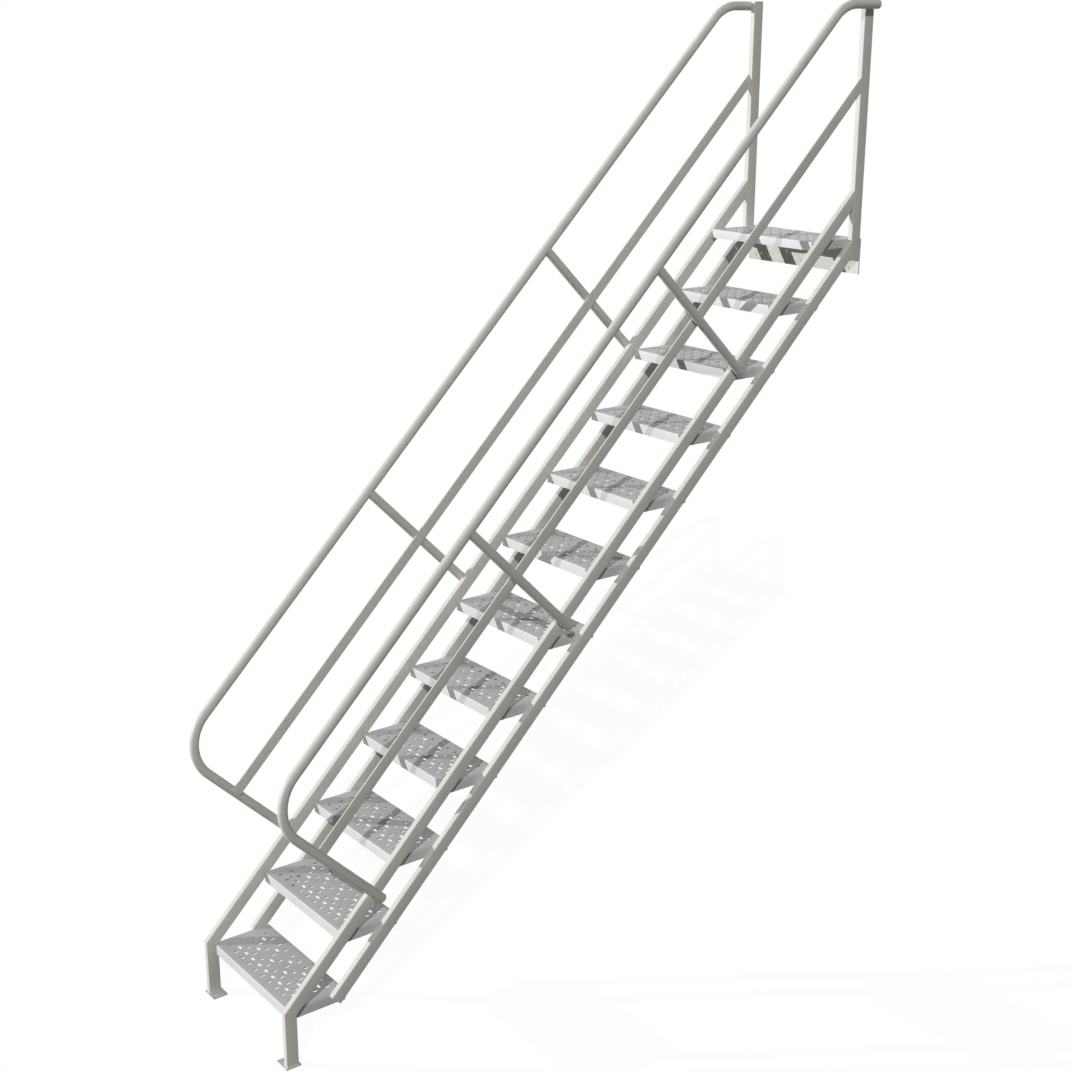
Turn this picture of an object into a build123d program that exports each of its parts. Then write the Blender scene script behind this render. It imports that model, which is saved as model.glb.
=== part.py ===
from build123d import *

import os
from math import atan2, cos, sin, tan

# Steel stair unit between two levels. The origin is the middle of the rear face
# of the mounting plate, +Y points from the foot of the stair to the landing and
# +Z is up. All sizes are in millimetres.

# Driving dimensions of the flight
tread_count = 12
post_distance = 2856.4
plate_to_floor = 2813.7
clear_width = 609.6

# Driving dimensions of the rectangular tube frames
tube_depth = 50.8
tube_width = 25.4
tube_wall = 3.0
leg_height = 236.5
stringer_gap = 101.6
rear_stringer_start = 138.7
post_below_plate_middle = 14.7

# Driving dimensions of the rails
rail_radius = 19.05
rail_wall = 3.0
rail_height = 626.9
rail_tail = 54.0
rail_end_cap = 4.0
return_place = 551.0
upper_brace_to_post = 948.5
rail_bend_radius = 177.8
rail_level_before_post = 144.1
midrail_height = 301.2
midrail_width = 44.45
midrail_thickness = 6.35

# Driving dimensions of the treads
tread_top_height = 227.0
tread_setback = 30.0
tread_depth = 250.0
tread_lip = 41.0
tread_sheet = 3.0
tread_edge_radius = 3.0
top_bay_rise = 249.9
top_bay_depth = 464.2
top_tread_depth = 262.0
top_tread_lip = 37.0

# Driving dimensions of the plates
plate_thickness = 6.35
plate_height = 152.4
plate_hole_radius = 5.6
plate_hole_spacing = 279.4
plate_hole_drop = 52.0
foot_width = 76.2
foot_depth = 63.5
foot_thickness = 4.8
foot_overhang = 6.35
foot_hole_radius = 5.6
foot_hole_inset_x = 22.5
foot_hole_inset_y = 19.2

# The top bay lies between the last tread but one and the mounting plate. The
# treads below it share out the rest of the run and of the height evenly.
shared_run = post_distance + tube_depth - tread_setback - top_bay_depth
shared_height = plate_to_floor + plate_height / 2 - tread_top_height - top_bay_rise
going = shared_run / (tread_count - 2)
rise = shared_height / (tread_count - 2)
slope = atan2(rise, going)

# Places that follow from the driving dimensions
inner_x = clear_width / 2
outer_x = inner_x + tube_width
rail_x = outer_x + rail_radius
plate_front_y = -plate_thickness
post_front_y = plate_front_y - tube_depth
leg_front_y = post_front_y - post_distance
floor_z = -plate_to_floor
corner_z = floor_z + leg_height
rear_stringer_drop = tube_depth + stringer_gap
upper_brace_place = post_distance / cos(slope) - upper_brace_to_post
lower_brace_place = (return_place + upper_brace_place) / 2
rail_level_y = post_front_y - rail_level_before_post
rail_end_y = plate_front_y


# Point in the plane of a side frame, from the distance up the slope and the
# height square to the slope above the top face of the front stringer
def slope_point(distance, height):
    return (
        leg_front_y + distance * cos(slope) - height * sin(slope),
        corner_z + distance * sin(slope) + height * cos(slope),
    )


# Point of a line parallel to the slope where it meets a given depth
def slope_at(y, height):
    return (y, corner_z + (y - leg_front_y) * tan(slope) + height / cos(slope))


# Level of the upper end of the handrails, where their sloping run turns
rail_level_z = slope_at(rail_level_y, rail_height)[1]
post_top_z = rail_level_z + rail_radius


# Four corners of the leg, or of its hollow when they lie inside the wall
def leg_corners(wall):
    bottom_z = floor_z + foot_thickness
    return [
        (leg_front_y + wall, bottom_z),
        (leg_front_y + tube_depth - wall, bottom_z),
        slope_at(leg_front_y + tube_depth - wall, wall - tube_depth),
        slope_at(leg_front_y + wall, -wall),
    ]


# Four corners of the front stringer, mitred to the leg and cut at the post
def front_stringer_corners(wall):
    return [
        slope_at(leg_front_y + wall, -wall),
        slope_at(leg_front_y + tube_depth - wall, wall - tube_depth),
        slope_at(post_front_y, wall - tube_depth),
        slope_at(post_front_y, -wall),
    ]


# Four corners of the rear stringer, cut square below and at the post above
def rear_stringer_corners(wall):
    top = -rear_stringer_drop - wall
    bottom = -rear_stringer_drop - tube_depth + wall
    return [
        slope_point(rear_stringer_start, top),
        slope_point(rear_stringer_start, bottom),
        slope_at(post_front_y, bottom),
        slope_at(post_front_y, top),
    ]


# Four corners of the post, whose hollow is open below and capped on top
def post_corners(wall):
    return [
        (post_front_y + wall, -post_below_plate_middle),
        (plate_front_y - wall, -post_below_plate_middle),
        (plate_front_y - wall, post_top_z - wall),
        (post_front_y + wall, post_top_z - wall),
    ]


tube_outlines = {
    "leg": leg_corners,
    "front_stringer": front_stringer_corners,
    "rear_stringer": rear_stringer_corners,
    "post": post_corners,
}
sides = {"left": -1, "right": 1}

os.makedirs("parts", exist_ok=True)

# Rectangular tubes of both side frames
for side, sign in sides.items():
    for piece, corners in tube_outlines.items():
        with BuildPart() as tube:
            with BuildSketch(Plane.YZ.offset(sign * (inner_x + tube_width / 2))):
                Polygon(*corners(0), align=None)
            extrude(amount=tube_width / 2, both=True)
            with BuildSketch(Plane.YZ.offset(sign * (inner_x + tube_width / 2))):
                Polygon(*corners(tube_wall), align=None)
            extrude(amount=tube_width / 2 - tube_wall, both=True, mode=Mode.SUBTRACT)
        tube.part.label = f"{side}_{piece}"
        export_step(tube.part, f"parts/{side}_{piece}.step")

# Foot plates under the legs, each with one anchor hole on the inner side
for side, sign in sides.items():
    foot_x = sign * (outer_x + foot_overhang - foot_width / 2)
    foot_y = leg_front_y - foot_overhang + foot_depth / 2
    hole_x = foot_x - sign * (foot_width / 2 - foot_hole_inset_x)
    hole_y = leg_front_y - foot_overhang + foot_hole_inset_y
    with BuildPart() as foot:
        with BuildSketch(Plane.XY.offset(floor_z)):
            with Locations((foot_x, foot_y)):
                Rectangle(foot_width, foot_depth)
            with Locations((hole_x, hole_y)):
                Circle(foot_hole_radius, mode=Mode.SUBTRACT)
        extrude(amount=foot_thickness)
    foot.part.label = f"{side}_foot_plate"
    export_step(foot.part, f"parts/{side}_foot_plate.step")

# Mounting plate behind the posts
with BuildPart() as plate:
    with BuildSketch(Plane.XZ.offset(0)):
        Rectangle(2 * outer_x, plate_height)
        with Locations((0, -plate_hole_drop)):
            with GridLocations(plate_hole_spacing, 0, 3, 1):
                Circle(plate_hole_radius, mode=Mode.SUBTRACT)
    extrude(amount=plate_thickness)
plate.part.label = "mounting_plate"
export_step(plate.part, "parts/mounting_plate.step")

# Handrails: one bent round tube a side, closed by a flat cap at both ends. The
# upper end is flush with the rear of the post.
rail_up = (0, -sin(slope), cos(slope))
rail_foot = slope_point(return_place, -rail_tail)
rail_corner = slope_point(return_place, rail_height)
for side, sign in sides.items():
    rail_plane = Plane.YZ.offset(sign * rail_x)
    foot_centre = (sign * rail_x, *rail_foot)
    with BuildPart() as handrail:
        with BuildLine(rail_plane):
            FilletPolyline(
                rail_foot,
                rail_corner,
                (rail_level_y, rail_level_z),
                (rail_end_y, rail_level_z),
                radius=rail_bend_radius,
            )
        with BuildSketch(Plane(foot_centre, z_dir=rail_up)):
            Circle(rail_radius)
            Circle(rail_radius - rail_wall, mode=Mode.SUBTRACT)
        sweep()
        with BuildSketch(Plane(foot_centre, z_dir=rail_up)):
            Circle(rail_radius)
        extrude(amount=rail_end_cap)
        with BuildSketch(Plane((sign * rail_x, rail_end_y, rail_level_z), z_dir=(0, -1, 0))):
            Circle(rail_radius)
        extrude(amount=rail_end_cap)
    handrail.part.label = f"{side}_handrail"
    export_step(handrail.part, f"parts/{side}_handrail.step")

# Braces from below the stringer up to the handrail, coped under it
for side, sign in sides.items():
    for name, place in {"lower_brace": lower_brace_place, "upper_brace": upper_brace_place}.items():
        foot_centre = (sign * rail_x, *slope_point(place, -rail_tail))
        top_centre = (sign * rail_x, *slope_point(place, rail_height))
        with BuildPart() as brace:
            with BuildSketch(Plane(foot_centre, z_dir=rail_up)):
                Circle(rail_radius)
            extrude(amount=rail_height + rail_tail)
            with BuildSketch(Plane(foot_centre, z_dir=rail_up).offset(rail_end_cap)):
                Circle(rail_radius - rail_wall)
            extrude(amount=rail_height + rail_tail, mode=Mode.SUBTRACT)
            with BuildSketch(Plane(top_centre, z_dir=(0, cos(slope), sin(slope)))):
                Circle(rail_radius)
            extrude(amount=2 * rail_radius, both=True, mode=Mode.SUBTRACT)
        brace.part.label = f"{side}_{name}"
        export_step(brace.part, f"parts/{side}_{name}.step")

# Flat midrails on the inner side of the braces
for side, sign in sides.items():
    low = midrail_height - midrail_width / 2
    high = midrail_height + midrail_width / 2
    with BuildPart() as midrail:
        with BuildSketch(Plane.YZ.offset(sign * (outer_x - midrail_thickness / 2))):
            Polygon(
                slope_point(return_place, low),
                slope_at(post_front_y, low),
                slope_at(post_front_y, high),
                slope_point(return_place, high),
                align=None,
            )
        extrude(amount=midrail_thickness / 2, both=True)
    midrail.part.label = f"{side}_midrail"
    export_step(midrail.part, f"parts/{side}_midrail.step")

# Treads: folded pans between the side frames, the last one flush with the top of
# the mounting plate and against its front
for number in range(1, tread_count + 1):
    top_z = floor_z + tread_top_height + (number - 1) * rise
    front_y = leg_front_y + tread_setback + (number - 1) * going
    depth = tread_depth
    lip = tread_lip
    if number == tread_count:
        top_z = plate_height / 2
        front_y = plate_front_y - top_tread_depth
        depth = top_tread_depth
        lip = top_tread_lip
    with BuildPart() as tread:
        with BuildSketch(Plane.XY.offset(top_z)):
            with Locations((0, front_y + depth / 2)):
                Rectangle(clear_width, depth)
        extrude(amount=-lip)
        fillet(tread.edges().group_by(Axis.Z)[-1].filter_by(Axis.X), tread_edge_radius)
        with BuildSketch(Plane.XY.offset(top_z - tread_sheet)):
            with Locations((0, front_y + depth / 2)):
                Rectangle(clear_width - 2 * tread_sheet, depth - 2 * tread_sheet)
        extrude(amount=tread_sheet - lip, mode=Mode.SUBTRACT)
    tread.part.label = f"tread_{number:02d}"
    export_step(tread.part, f"parts/tread_{number:02d}.step")
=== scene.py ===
import math

import bpy
import numpy as np
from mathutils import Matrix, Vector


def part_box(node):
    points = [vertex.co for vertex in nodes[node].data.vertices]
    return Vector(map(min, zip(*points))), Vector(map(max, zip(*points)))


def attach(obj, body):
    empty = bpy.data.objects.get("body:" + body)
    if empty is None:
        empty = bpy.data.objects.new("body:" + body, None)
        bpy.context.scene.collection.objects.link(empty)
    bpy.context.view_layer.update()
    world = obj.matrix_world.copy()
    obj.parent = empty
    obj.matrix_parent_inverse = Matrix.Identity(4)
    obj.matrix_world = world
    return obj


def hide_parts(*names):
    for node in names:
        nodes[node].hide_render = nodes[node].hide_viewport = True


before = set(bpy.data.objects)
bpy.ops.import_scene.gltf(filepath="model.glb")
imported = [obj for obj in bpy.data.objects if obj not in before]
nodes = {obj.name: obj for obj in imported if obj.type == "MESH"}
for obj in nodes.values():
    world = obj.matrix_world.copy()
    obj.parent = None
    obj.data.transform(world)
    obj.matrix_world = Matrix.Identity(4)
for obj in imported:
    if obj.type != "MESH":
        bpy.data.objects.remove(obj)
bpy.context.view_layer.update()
print("frame loaded:", len(nodes), "nodes")

# places and sizes that the pieces share, in metres, with the slope in radians. The origin is the
# middle of the mounting plate's rear face.
flight = {
    "steps": 12,
    "stepPitch": 0.34125,           # from step to step along the slope
    "slope": math.radians(45),
    "innerSide": 0.3048,            # inner and outer faces of the side frames
    "outerSide": 0.3302,
    "tubeDepth": 0.0508,
    "legFront": -2.91355,
    "floor": -2.8137,
    "corner": -2.5772,              # height at which the slope meets the front of the leg
    "postFront": -0.05715,
    "rearStringerStart": 0.1387,
    "rearStringerDrop": 0.1524,
}
sides = {"left": -1, "right": 1}
slopeCos, slopeSin = math.cos(flight["slope"]), math.sin(flight["slope"])
toPost = (flight["postFront"] - flight["legFront"]) / slopeCos  # distance up the slope to the post


# sRGB hex code to linear colour: a channel c becomes c / 12.92 below 0.04045, and otherwise
# ((c + 0.055) / 1.055) ^ 2.4
def linearColour(hexCode):
    channels = [int(hexCode[i:i + 2], 16) / 255 for i in (0, 2, 4)]
    linear = [c / 12.92 if c <= 0.04045 else ((c + 0.055) / 1.055) ** 2.4 for c in channels]
    return (*linear, 1.0)


# one node with its settings; an input is linked where it is given a socket, and set otherwise
def addNode(tree, kind, inputs=None, **settings):
    made = tree.nodes.new(kind)
    for key, value in settings.items():
        setattr(made, key, value)
    for key, value in (inputs or {}).items():
        if isinstance(value, bpy.types.NodeSocket):
            tree.links.new(value, made.inputs[key])
        else:
            made.inputs[key].default_value = value
    return made


def newMaterial(name):
    material = bpy.data.materials.new(name)
    material.use_nodes = True
    tree = material.node_tree
    tree.nodes.clear()
    return material, tree, addNode(tree, "ShaderNodeOutputMaterial")


# light grey powder coat on steel, sprayed and baked: an even, softly glossy colour with faint duller
# patches and a fine skin. The frame's coat is a little warmer than the treads'. Scales are per metre
# and the skin's depth is in metres. The real skin's grain of about 1 mm is too fine to show in the
# render, so it is drawn at about 11 mm.
warmGreyPaint = {
    "colour": "dedcd6", "patch": "d5d2cb",
    "roughness": 0.45, "specular": 0.35,
    "cloudScale": 5.0, "cloudDetail": 4.0, "cloudRoughness": 0.6, "patchFrom": 0.4, "patchTo": 0.75,
    "glossBelow": 0.06, "glossAbove": 0.1,
    "skinScale": 90.0, "skinDetail": 2.0, "skinDepth": 0.00002, "skinStrength": 0.6,
}
coolGreyPaint = {**warmGreyPaint, "colour": "dad9d9", "patch": "d0d0d1", "roughness": 0.42}

# zinc-plated steel, electroplated and dull: a grey metal whose cloudy plating, drawn at about 4 mm,
# breaks up the gloss
zincPlating = {
    "colour": "8d8c86", "metallic": 0.85, "roughness": 0.34,
    "spangleScale": 260.0, "spangleDetail": 3.0, "glossBelow": 0.1, "glossAbove": 0.15,
}


def paintMaterial(name, look):
    material, tree, output = newMaterial(name)
    place = addNode(tree, "ShaderNodeTexCoord").outputs["Object"]
    cloud = addNode(tree, "ShaderNodeTexNoise", {
        "Vector": place, "Scale": look["cloudScale"],
        "Detail": look["cloudDetail"], "Roughness": look["cloudRoughness"],
    }).outputs["Fac"]
    share = addNode(tree, "ShaderNodeMapRange", {
        "Value": cloud, "From Min": look["patchFrom"], "From Max": look["patchTo"],
    }).outputs["Result"]
    colour = addNode(tree, "ShaderNodeMix", {
        "Factor": share, "A": linearColour(look["colour"]), "B": linearColour(look["patch"]),
    }, data_type="RGBA")
    skin = addNode(tree, "ShaderNodeTexNoise", {
        "Vector": place, "Scale": look["skinScale"], "Detail": look["skinDetail"],
    }).outputs["Fac"]
    bump = addNode(tree, "ShaderNodeBump", {
        "Height": skin, "Distance": look["skinDepth"], "Strength": look["skinStrength"],
    })
    gloss = addNode(tree, "ShaderNodeMapRange", {
        "Value": cloud,
        "To Min": look["roughness"] - look["glossBelow"], "To Max": look["roughness"] + look["glossAbove"],
    })
    paint = addNode(tree, "ShaderNodeBsdfPrincipled", {
        "Base Color": colour.outputs["Result"], "Roughness": gloss.outputs["Result"],
        "Normal": bump.outputs["Normal"], "Specular IOR Level": look["specular"],
    })
    tree.links.new(paint.outputs["BSDF"], output.inputs["Surface"])
    return material


def zincMaterial(name, look):
    material, tree, output = newMaterial(name)
    place = addNode(tree, "ShaderNodeTexCoord").outputs["Object"]
    spangle = addNode(tree, "ShaderNodeTexNoise", {
        "Vector": place, "Scale": look["spangleScale"], "Detail": look["spangleDetail"],
    }).outputs["Fac"]
    gloss = addNode(tree, "ShaderNodeMapRange", {
        "Value": spangle,
        "To Min": look["roughness"] - look["glossBelow"], "To Max": look["roughness"] + look["glossAbove"],
    })
    zinc = addNode(tree, "ShaderNodeBsdfPrincipled", {
        "Base Color": linearColour(look["colour"]), "Metallic": look["metallic"],
        "Roughness": gloss.outputs["Result"],
    })
    tree.links.new(zinc.outputs["BSDF"], output.inputs["Surface"])
    return material


framePaint = paintMaterial("warmGreyFramePaint", warmGreyPaint)
stepPaint = paintMaterial("coolGreyTreadPaint", coolGreyPaint)
boltZinc = zincMaterial("dullZincBolts", zincPlating)
for node in nodes.values():
    node.data.materials.clear()
    node.data.materials.append(framePaint)
print("finishes made")


# volume enclosed by a closed mesh: the sum over the fan triangles of its faces of a . (b x c) / 6
def signedVolume(points, faces):
    total = 0.0
    for group in faces:
        a = points[group[:, 0]]
        for k in range(1, group.shape[1] - 1):
            total += np.sum(a * np.cross(points[group[:, k]], points[group[:, k + 1]])) / 6
    return total


# a mesh piece from a point array and a list of face arrays, turned so that its faces point outwards.
# Edges sharper than smoothAngle in degrees stay crisp.
def addPiece(name, points, faces, material, smoothAngle):
    if signedVolume(points, faces) < 0:
        faces = [group[:, ::-1] for group in faces]
    mesh = bpy.data.meshes.new(name)
    mesh.from_pydata(points.tolist(), [], [face for group in faces for face in group.tolist()])
    mesh.materials.append(material)
    mesh.polygons.foreach_set("use_smooth", np.ones(len(mesh.polygons), bool))
    mesh.set_sharp_from_angle(angle=math.radians(smoothAngle))
    piece = bpy.data.objects.new(name, mesh)
    bpy.context.scene.collection.objects.link(piece)
    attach(piece, "root")
    return piece


# quads between the points of a rows by columns grid; a closed grid joins its last column to its first
def gridFaces(rows, columns, closed=False):
    r = np.arange(rows - 1)[:, None]
    c = np.arange(columns if closed else columns - 1)[None, :]
    after = (c + 1) % columns
    low, high = r * columns, (r + 1) * columns
    quads = np.stack(np.broadcast_arrays(low + c, low + after, high + after, high + c), -1)
    return quads.reshape(-1, 4)


# faces of a closed tube of rings: quads between the rings, and one flat face over each end
def ringFaces(rings, count):
    ring = np.arange(count)[None, :]
    return [gridFaces(rings, count, True), ring[:, ::-1], ring + (rings - 1) * count]


# evenly spread angles round a full circle
def circleAngles(steps):
    return 2 * np.pi * np.arange(steps) / steps


# point at x, a distance up the slope and a height square to it above the front stringer's top face: the
# depth is distance * cos - height * sin of the slope, and the level is distance * sin + height * cos
def slopePoint(x, distance, height):
    x, distance, height = np.broadcast_arrays(x, distance, height)
    y = flight["legFront"] + distance * slopeCos - height * slopeSin
    z = flight["corner"] + distance * slopeSin + height * slopeCos
    return np.stack([x, y, z], -1)


# rectangular tubes and flat bars: a section with round corners carried between two end planes
tubeEdges = {"tubeCorner": 0.003, "barCorner": 0.0009, "cornerSteps": 4, "smoothAngle": 35}
midrailBar = {"start": 0.551, "height": 0.3012, "width": 0.04445, "thickness": 0.00635}


# outline of a bar section: x from low to high, height from -depth to 0, and a quarter circle at each
# corner, where the point at angle t lies corner * (cos t, sin t) from the quarter's centre
def roundedSection(low, high, depth, corner):
    turn = np.linspace(0, np.pi / 2, tubeEdges["cornerSteps"] + 1)
    left, right, top, bottom = low + corner, high - corner, -corner, corner - depth
    parts = []
    for quarter, (x, h) in enumerate([(right, top), (left, top), (left, bottom), (right, bottom)]):
        angle = turn + quarter * np.pi / 2
        parts.append(np.stack([x + corner * np.cos(angle), h + corner * np.sin(angle)], 1))
    return np.concatenate(parts)


# a bar whose long lines run from starts to ends, two outlines of equally many points, with flat ends
def barPiece(name, node, starts, ends):
    points = np.concatenate([starts, ends])
    faces = ringFaces(2, len(starts))
    piece = addPiece(name, points, faces, framePaint, tubeEdges["smoothAngle"])
    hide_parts(node)
    return piece


for side, sign in sides.items():
    low, high = sorted((sign * flight["innerSide"], sign * flight["outerSide"]))
    x, h = roundedSection(low, high, flight["tubeDepth"], tubeEdges["tubeCorner"]).T
    # leg: upright lines from the foot plate to the mitre, which runs at half the slope's angle
    y = flight["legFront"] - h
    footTop = np.full_like(x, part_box(f"{side}_leg")[0].z)
    mitre = flight["corner"] + h * math.tan(flight["slope"] / 2)
    legTop = np.stack([x, y, mitre], 1)
    barPiece(f"{side}LegTube", f"{side}_leg", np.stack([x, y, footTop], 1), legTop)
    # front stringer: from the mitre to the post's upright face
    end = slopePoint(x, toPost + h, h)
    barPiece(f"{side}FrontStringerTube", f"{side}_front_stringer", legTop, end)
    # rear stringer: cut square below, upright at the post
    rear = h - flight["rearStringerDrop"]
    start, end = slopePoint(x, flight["rearStringerStart"], rear), slopePoint(x, toPost + rear, rear)
    barPiece(f"{side}RearStringerTube", f"{side}_rear_stringer", start, end)
    # post: upright between its cut ends
    postLow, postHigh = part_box(f"{side}_post")
    y = flight["postFront"] - h
    start, end = [np.stack([x, y, np.full_like(x, level)], 1) for level in (postLow.z, postHigh.z)]
    barPiece(f"{side}PostTube", f"{side}_post", start, end)
    # midrail: a flat bar on edge, from the lower handrail end to the post
    low, high = sorted((sign * (flight["outerSide"] - midrailBar["thickness"]), sign * flight["outerSide"]))
    x, h = roundedSection(low, high, midrailBar["width"], tubeEdges["barCorner"]).T
    h = h + midrailBar["height"] + midrailBar["width"] / 2
    start, end = slopePoint(x, midrailBar["start"], h), slopePoint(x, toPost + h, h)
    barPiece(f"{side}MidrailBar", f"{side}_midrail", start, end)
print("tubes and bars made")

# round rails: a circle carried along its bent centre line, with slightly rounded cut ends
roundRail = {
    "radius": 0.01905, "bend": 0.1778, "endRounding": 0.0012,
    "ringSteps": 40, "bendSteps": 28, "endSteps": 3, "smoothAngle": 50,
}
railPlace = {"height": 0.6269, "tail": 0.054, "lowerPlace": 0.551, "levelStart": -0.20125, "end": -0.00635}
upperBrace = toPost - 0.9485  # distance of the upper brace up the slope
bracePlaces = {"lower": (railPlace["lowerPlace"] + upperBrace) / 2, "upper": upperBrace}
railCircle = circleAngles(roundRail["ringSteps"])


# centre line in the plane of a side frame: straight runs between the corners, with each inner corner
# replaced by an arc of the radius that touches both runs at radius * tan(half turn) from the corner.
# The arc's points are blended from its two end spokes by sines, which keeps their length.
def bentLine(corners, radius, steps):
    parts = [corners[:1]]
    t = np.linspace(0, 1, steps + 1)[:, None]
    for before, corner, after in zip(corners[:-2], corners[1:-1], corners[2:]):
        a = (before - corner) / np.linalg.norm(before - corner)
        b = (after - corner) / np.linalg.norm(after - corner)
        halfTurn = (math.pi - math.acos(float(a @ b))) / 2
        middle = corner + (a + b) / np.linalg.norm(a + b) * radius / math.cos(halfTurn)
        start = corner + a * radius * math.tan(halfTurn) - middle
        end = corner + b * radius * math.tan(halfTurn) - middle
        spokes = np.sin((1 - t) * 2 * halfTurn) * start + np.sin(t * 2 * halfTurn) * end
        parts.append(middle + spokes / math.sin(2 * halfTurn))
    parts.append(corners[-1:])
    return np.concatenate(parts)


# rounding of a cut end by a quarter circle of radius e: at angle t it lies e * (1 - cos t) along the
# line and takes e * (1 - sin t) off the rail's radius
def endRings():
    e = roundRail["endRounding"]
    turn = np.linspace(0, np.pi / 2, roundRail["endSteps"] + 1)
    return e * (1 - np.cos(turn)), e * (1 - np.sin(turn))


# tube round a centre line: at each station a circle of the rail's radius, less at the rounded ends, set
# square to the line's direction there
def railPiece(name, node, x, line):
    length = np.append(0, np.cumsum(np.linalg.norm(np.diff(line, axis=0), axis=1)))
    inset, fall = endRings()
    stations = np.concatenate([inset, length[1:-1], (length[-1] - inset)[::-1]])
    shrink = np.concatenate([fall, np.zeros(len(length) - 2), fall[::-1]])
    centre = np.stack([np.interp(stations, length, line[:, k]) for k in (0, 1)], 1)
    along = np.gradient(centre, stations, axis=0)
    along /= np.linalg.norm(along, axis=1)[:, None]
    across = np.stack([-along[:, 1], along[:, 0]], 1)
    radius = (roundRail["radius"] - shrink)[:, None]
    ringX = x + radius * np.cos(railCircle)
    ringY = centre[:, :1] + radius * np.sin(railCircle) * across[:, :1]
    ringZ = centre[:, 1:] + radius * np.sin(railCircle) * across[:, 1:]
    points = np.stack([ringX, ringY, ringZ], -1).reshape(-1, 3)
    faces = ringFaces(len(stations), roundRail["ringSteps"])
    piece = addPiece(name, points, faces, framePaint, roundRail["smoothAngle"])
    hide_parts(node)
    return piece


# brace: rings up from its rounded foot; its top stops short of the handrail's middle by sqrt(R^2 - x^2)
# at distance x from the brace's middle plane, so that it cups the rail
def bracePiece(name, node, x, place):
    radius = roundRail["radius"]
    inset, fall = endRings()
    rings = np.append(radius - fall, radius)[:, None]
    lower = np.tile((inset - railPlace["tail"])[:, None], (1, roundRail["ringSteps"]))
    cup = railPlace["height"] - np.sqrt(np.maximum(radius ** 2 - (radius * np.cos(railCircle)) ** 2, 0))
    heights = np.concatenate([lower, cup[None, :]])
    points = slopePoint(x + rings * np.cos(railCircle), place + rings * np.sin(railCircle), heights)
    faces = ringFaces(len(heights), roundRail["ringSteps"])
    piece = addPiece(name, points.reshape(-1, 3), faces, framePaint, roundRail["smoothAngle"])
    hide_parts(node)
    return piece


# level of the handrail's upper run, from the place where the slope ends
levelDistance = (railPlace["levelStart"] - flight["legFront"]) / slopeCos + railPlace["height"]
levelHeight = slopePoint(0, levelDistance, railPlace["height"])[2]
for side, sign in sides.items():
    x = sign * (flight["outerSide"] + roundRail["radius"])
    foot = slopePoint(x, railPlace["lowerPlace"], -railPlace["tail"])[1:]
    turnPoint = slopePoint(x, railPlace["lowerPlace"], railPlace["height"])[1:]
    upperRun = [(railPlace["levelStart"], levelHeight), (railPlace["end"], levelHeight)]
    line = bentLine(np.array([foot, turnPoint, *upperRun]), roundRail["bend"], roundRail["bendSteps"])
    railPiece(f"{side}Handrail", f"{side}_handrail", x, line)
    for name, place in bracePlaces.items():
        bracePiece(f"{side}{name.capitalize()}Brace", f"{side}_{name}_brace", x, place)
print("handrails and braces made")

# treads: folded sheet with two kinds of punched slots, on one pitch both ways. A kind's margin runs
# from a slot's middle to the right side of its cell, which is the next cell's left side. rowMargin is
# half a cell's depth, and firstMargin runs from the first slot's middle to the left side of its cell.
# Known fault: the long slots' margin is too wide, so that all cross slots but the first column's
# reach 1.6 mm past their cells and the sheet is folded over itself there.
treadSheet = {
    "thickness": 0.0025, "frontBend": 0.0045, "sideBend": 0.006, "bendSteps": 5, "smoothAngle": 30,
    "pitch": 0.054, "slotSteps": 4, "rowMargin": 0.0135, "firstMargin": 0.008,
}
crossSlots = {
    "firstX": -0.243, "columns": 10, "firstDepth": 0.0415, "rows": 4,
    "length": 0.0195, "width": 0.0112, "margin": 0.012,
}
longSlots = {
    "firstX": -0.211, "columns": 9, "firstDepth": 0.0685, "rows": 3,
    "length": 0.026, "width": 0.0108, "margin": 0.018,
}


# a slot along x as 4 * steps points: two half circles of the slot's width, set length - width apart.
# It starts at its lower left, so that its points pair with those of the cell round it.
def slotOutline(length, width, steps):
    turn = circleAngles(4 * steps) - 3 * np.pi / 4
    shift = (length - width) / 2 * np.sign(np.round(np.cos(turn), 6))
    return np.stack([width / 2 * np.cos(turn) + shift, width / 2 * np.sin(turn)], 1)


# a rectangle as 4 * steps points from its low corner, steps points to a side
def cellOutline(x0, x1, y0, y1, steps):
    t = np.arange(steps) / steps
    one = np.ones(steps)
    lower = np.stack([x0 + (x1 - x0) * t, y0 * one], 1)
    right = np.stack([x1 * one, y0 + (y1 - y0) * t], 1)
    upper = np.stack([x1 - (x1 - x0) * t, y1 * one], 1)
    left = np.stack([x0 * one, y1 - (y1 - y0) * t], 1)
    return np.concatenate([lower, right, upper, left])


# middles of a kind of slot, counted from the step's middle across and from the flat's front edge in depth
def slotMiddles(look):
    pitch = treadSheet["pitch"]
    across = look["firstX"] + pitch * np.arange(look["columns"])
    deep = look["firstDepth"] - treadSheet["frontBend"] + pitch * np.arange(look["rows"])
    return across, deep


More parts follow.
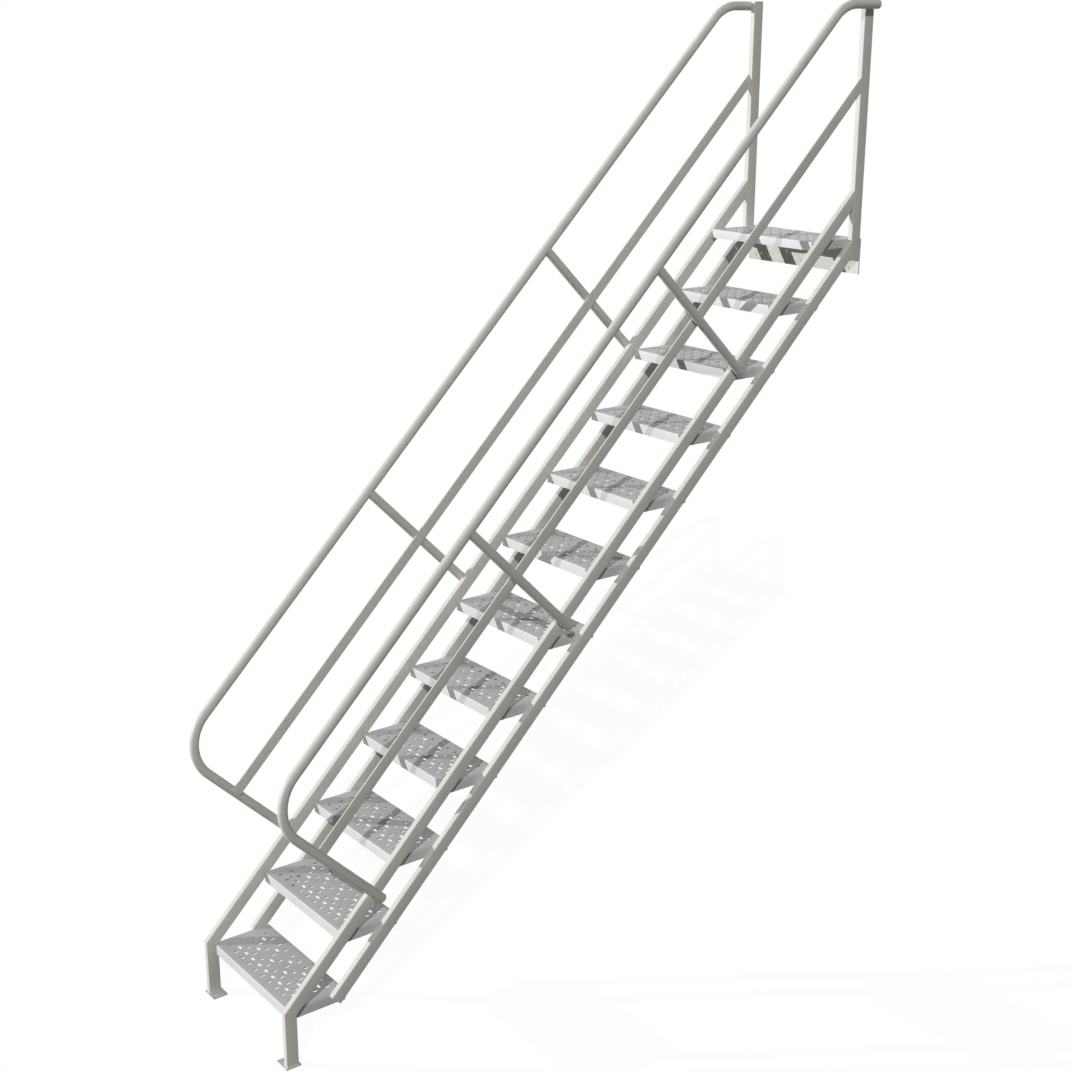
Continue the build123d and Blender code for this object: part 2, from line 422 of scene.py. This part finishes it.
# the flat top as cells. A cell with a slot is a ring of quads between its outline and the slot's, and
# the other cells are one face each. Every cell side has the same number of points, so that neighbours
# meet point to point.
def slottedTop(width, depth):
    steps, rowMargin = treadSheet["slotSteps"], treadSheet["rowMargin"]
    crossX, crossY = slotMiddles(crossSlots)
    longX, longY = slotMiddles(longSlots)
    xEnds = [-width / 2, width / 2, crossX[0] - treadSheet["firstMargin"]]
    xEdges = np.sort(np.concatenate([xEnds, crossX + crossSlots["margin"], longX + longSlots["margin"]]))
    yEnds = [0.0, depth, crossY[0] - rowMargin]
    yEdges = np.sort(np.concatenate([yEnds, crossY + rowMargin, longY + rowMargin]))
    across = slotOutline(longSlots["length"], longSlots["width"], steps)
    deep = slotOutline(crossSlots["length"], crossSlots["width"], steps)
    deep = np.roll(np.stack([-deep[:, 1], deep[:, 0]], 1), steps, axis=0)
    holes = [(x, y, deep) for x in crossX for y in crossY]
    for n, x in enumerate(longX):
        # the front row is full, and the rows behind it have every other slot
        holes += [(x, y, across) for m, y in enumerate(longY) if m == 0 or (n + m) % 2 == 0]
    ring = np.arange(4 * steps)
    after = np.roll(ring, -1)
    quads = np.stack([ring, after, after + 4 * steps, ring + 4 * steps], 1)
    points, rings, plain, count = [], [], [], 0
    for x0, x1 in zip(xEdges[:-1], xEdges[1:]):
        for y0, y1 in zip(yEdges[:-1], yEdges[1:]):
            parts = [cellOutline(x0, x1, y0, y1, steps)]
            parts += [hole + (x, y) for x, y, hole in holes if x0 < x < x1 and y0 < y < y1]
            if len(parts) > 1:
                rings.append(quads + count)
            else:
                plain.append(ring + count)
            points += parts
            count += 4 * steps * len(parts)
    return np.concatenate(points), [np.concatenate(rings), np.array(plain)], xEdges, yEdges


# the cell edges with steps - 1 evenly spread points between neighbours
def sidePoints(edges, steps):
    parts = [a + (b - a) * np.arange(steps) / steps for a, b in zip(edges[:-1], edges[1:])]
    return np.append(np.concatenate(parts), edges[-1])


# closed shell of an open sheet: points that coincide are merged, the inner skin is each point moved
# back by the thickness along its mean normal, and a wall of quads joins the skins along every edge that
# only one face uses
def thickSheet(points, normals, faces, thickness):
    mergeStep = 0.00001
    cells = np.round(points / mergeStep).astype(np.int64)
    _, first, same = np.unique(cells, axis=0, return_index=True, return_inverse=True)
    same = same.ravel()
    mean = np.zeros((len(first), 3))
    np.add.at(mean, same, normals)
    mean /= np.linalg.norm(mean, axis=1)[:, None]
    outer = points[first]
    count = len(outer)
    faces = [same[group] for group in faces]
    starts = np.concatenate([group.ravel() for group in faces])
    ends = np.concatenate([np.roll(group, -1, axis=1).ravel() for group in faces])
    lone = ~np.isin(starts * count + ends, ends * count + starts)
    a, b = starts[lone], ends[lone]
    walls = np.stack([a, a + count, b + count, b], 1)
    inner = [group[:, ::-1] + count for group in faces]
    return np.concatenate([outer, outer - thickness * mean]), faces + inner + [walls]


# a quarter bend and the straight lip below it, as a grid with its normals: row r of the bend has turned
# by angle t, so it lies radius * sin t out, radius * (1 - cos t) down, and faces (sin t, cos t)
def foldedLip(along, base, sign, radius, drop, acrossX):
    turn = np.linspace(0, np.pi / 2, treadSheet["bendSteps"] + 1)
    out = np.append(radius * np.sin(turn), radius)
    down = np.append(radius * (1 - np.cos(turn)), drop)
    facing = np.append(turn, np.pi / 2)
    rows, columns = len(out), len(along)
    lengths = np.tile(along, (rows, 1))
    outward = np.repeat((base + sign * out)[:, None], columns, 1)
    heights = np.repeat(-down[:, None], columns, 1)
    sidewise = np.repeat(sign * np.sin(facing)[:, None], columns, 1)
    upward = np.repeat(np.cos(facing)[:, None], columns, 1)
    nothing = np.zeros((rows, columns))
    if acrossX:
        points, normals, flip = (outward, lengths, heights), (sidewise, nothing, upward), sign > 0
    else:
        points, normals, flip = (lengths, outward, heights), (nothing, sidewise, upward), sign < 0
    points, normals = [np.stack(rowsOf, -1).reshape(-1, 3) for rowsOf in (points, normals)]
    quads = gridFaces(rows, columns)
    return points, normals, quads[:, ::-1] if flip else quads


# a tread: the slotted top, a lip along each of its four sides, and the sheet's thickness inwards
def makeTread(number):
    node = f"tread_{number:02d}"
    low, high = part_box(node)
    front, side = treadSheet["frontBend"], treadSheet["sideBend"]
    width = high.x - low.x - 2 * side
    depth = high.y - low.y - 2 * front
    drop = high.z - low.z
    flat, faces, xEdges, yEdges = slottedTop(width, depth)
    points = [np.column_stack([flat, np.zeros(len(flat))])]
    normals = [np.tile((0.0, 0.0, 1.0), (len(flat), 1))]
    alongX = sidePoints(xEdges, treadSheet["slotSteps"])
    alongY = sidePoints(yEdges, treadSheet["slotSteps"])
    lips = [foldedLip(alongX, base, sign, front, drop, False) for base, sign in ((0.0, -1), (depth, 1))]
    lips += [foldedLip(alongY, sign * width / 2, sign, side, drop, True) for sign in (-1, 1)]
    count = len(flat)
    for lipPoints, lipNormals, quads in lips:
        points.append(lipPoints)
        normals.append(lipNormals)
        faces.append(quads + count)
        count += len(lipPoints)
    points, normals = np.concatenate(points), np.concatenate(normals)
    shell, shellFaces = thickSheet(points, normals, faces, treadSheet["thickness"])
    shell = shell + (0, low.y + front, high.z)
    name = f"treadPan{number:02d}"
    piece = addPiece(name, shell, shellFaces, stepPaint, treadSheet["smoothAngle"])
    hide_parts(node)
    return piece


for number in range(1, flight["steps"] + 1):
    makeTread(number)
print("treads made")

# clamp bolts on the rear faces of the rear stringers, one a side under each tread below the top one:
# a round washer, a hexagonal nut and the bolt's tip. The outer edges of nut and tip are broken.
clampBolt = {
    "first": 0.160, "count": 11, "edge": 0.0007, "smoothAngle": 25,
    "washerRadius": 0.009, "washer": 0.0016, "washerSteps": 24,
    "nutRadius": 0.0075, "nut": 0.0065, "nutSteps": 6,
    "boltRadius": 0.004, "tip": 0.0045, "boltSteps": 16,
}


# a turned shape: circles of the radii at the heights, closed by a face at both ends
def stackedRings(radii, heights, steps):
    angle = circleAngles(steps)
    r, t = np.asarray(radii)[:, None], np.asarray(heights)[:, None]
    points = np.stack([r * np.cos(angle), r * np.sin(angle), t + 0 * angle], -1).reshape(-1, 3)
    sideQuads, lower, upper = ringFaces(len(radii), steps)
    return points, [sideQuads, np.concatenate([lower, upper])]


# copies of the shapes at each place, whose points are (across, along the slope, out of the rear face)
def joinCopies(shapes, places):
    points, quads, others, count = [], [], [], 0
    for x, distance, height in places:
        for shape, (sideQuads, endFaces) in shapes:
            points.append(slopePoint(x + shape[:, 0], distance + shape[:, 1], height - shape[:, 2]))
            quads.append(sideQuads + count)
            others.append(endFaces + count)
            count += len(shape)
    return np.concatenate(points), quads + others


def makeBolts(look):
    edge, washer = look["edge"], look["washer"]
    top = washer + look["nut"]
    tip = top + look["tip"]
    nut, bolt = look["nutRadius"], look["boltRadius"]
    shapes = [
        stackedRings([look["washerRadius"]] * 2, [0, washer], look["washerSteps"]),
        stackedRings([nut, nut, nut - edge], [washer, top - edge, top], look["nutSteps"]),
        stackedRings([bolt, bolt, bolt - edge], [top, tip - edge, tip], look["boltSteps"]),
    ]
    rearFace = -flight["rearStringerDrop"] - flight["tubeDepth"]
    middle = (flight["innerSide"] + flight["outerSide"]) / 2
    distances = [look["first"] + flight["stepPitch"] * n for n in range(look["count"])]
    places = [(sign * middle, distance, rearFace) for sign in sides.values() for distance in distances]
    points, faces = joinCopies(shapes, places)
    return addPiece("clampBolts", points, faces, boltZinc, look["smoothAngle"])


makeBolts(clampBolt)
print("bolts made")

# camera at the photograph's place, angles in degrees
photoCamera = {
    "place": (5.09397, -5.41099, 0.91387), "yaw": 53.031, "pitch": 17.4647,
    "lens": 55.142, "sensor": 36.0, "shiftX": 0.01639, "shiftY": 0.01163, "reach": 100.0,
}
cameraData = bpy.data.cameras.new("photoCamera")
cameraData.lens = photoCamera["lens"]
cameraData.sensor_width = photoCamera["sensor"]
cameraData.shift_x = photoCamera["shiftX"]
cameraData.shift_y = photoCamera["shiftY"]
cameraData.clip_end = photoCamera["reach"]
camera = bpy.data.objects.new("photoCamera", cameraData)
camera.location = photoCamera["place"]
camera.rotation_euler = (math.radians(90 - photoCamera["pitch"]), 0, math.radians(photoCamera["yaw"]))
bpy.context.scene.collection.objects.link(camera)
bpy.context.scene.camera = camera

# floor and sky: what the camera and reflections see is white, and what lights the object is a dull
# floor and a faint sky. The floor's glow leaves a little of its own grey, which keeps the object's
# shadow.
studio = {
    "floorSize": 60.0, "floorGrey": 0.8, "bounceGrey": 0.12, "glowShare": 0.88, "glow": 1.079,
    "sky": 0.085, "skyColour": (1.0, 0.95, 0.88, 1.0),
}

# a lamp's heading is from +Y towards +X and its fall below the horizon, both in degrees
lamps = {
    "keyLamp": {"heading": 40.0, "fall": 10.0, "strength": 2.82, "angle": 0.4},
    "fillLamp": {"heading": -47.0, "fall": 37.0, "strength": 1.38, "angle": 0.6},
}


# 1 for camera, glossy and transmission rays, and 0 for the rays that light the object
def seenRays(tree):
    kinds = addNode(tree, "ShaderNodeLightPath").outputs
    seen = kinds["Is Camera Ray"]
    for name in ("Is Glossy Ray", "Is Transmission Ray"):
        either = addNode(tree, "ShaderNodeMath", {0: seen, 1: kinds[name]}, operation="MAXIMUM")
        seen = either.outputs[0]
    return seen


floorMaterial, tree, output = newMaterial("paleFloor")
grey, bounce = [(level, level, level, 1.0) for level in (studio["floorGrey"], studio["bounceGrey"])]
matte = addNode(tree, "ShaderNodeBsdfDiffuse", {"Color": grey}).outputs[0]
dull = addNode(tree, "ShaderNodeBsdfDiffuse", {"Color": bounce}).outputs[0]
glow = addNode(tree, "ShaderNodeEmission", {"Strength": studio["glow"]}).outputs[0]
faint = addNode(tree, "ShaderNodeMixShader", {0: studio["glowShare"], 1: matte, 2: glow}).outputs[0]
shown = addNode(tree, "ShaderNodeMixShader", {0: seenRays(tree), 1: dull, 2: faint}).outputs[0]
tree.links.new(shown, output.inputs["Surface"])
floorMaterial.cycles.emission_sampling = "NONE"  # the floor only shows white and is no lamp
half = studio["floorSize"] / 2
plan = ((-half, -half), (half, -half), (half, half), (-half, half))
corners = [(x, y, flight["floor"]) for x, y in plan]
floorMesh = bpy.data.meshes.new("floor")
floorMesh.from_pydata(corners, [], [(0, 1, 2, 3)])
floorMesh.materials.append(floorMaterial)
floor = bpy.data.objects.new("floor", floorMesh)
bpy.context.scene.collection.objects.link(floor)

world = bpy.data.worlds.new("studioSky")
world.use_nodes = True
world.cycles.sampling_method = "NONE"  # an even sky gives less noise without its own samples
bpy.context.scene.world = world
tree = world.node_tree
tree.nodes.clear()
skyInputs = {"Color": studio["skyColour"], "Strength": studio["sky"]}
soft = addNode(tree, "ShaderNodeBackground", skyInputs).outputs[0]
white = addNode(tree, "ShaderNodeBackground", {"Color": (1, 1, 1, 1), "Strength": 1.0}).outputs[0]
shown = addNode(tree, "ShaderNodeMixShader", {0: seenRays(tree), 1: soft, 2: white}).outputs[0]
tree.links.new(shown, addNode(tree, "ShaderNodeOutputWorld").inputs["Surface"])

for name, look in lamps.items():
    data = bpy.data.lights.new(name, "SUN")
    data.energy = look["strength"]
    data.angle = math.radians(look["angle"])
    lamp = bpy.data.objects.new(name, data)
    lamp.rotation_euler = (math.radians(90 - look["fall"]), 0, -math.radians(look["heading"]))
    bpy.context.scene.collection.objects.link(lamp)
bpy.context.scene.view_settings.view_transform = "Standard"
print("camera, floor, sky and lamps made")
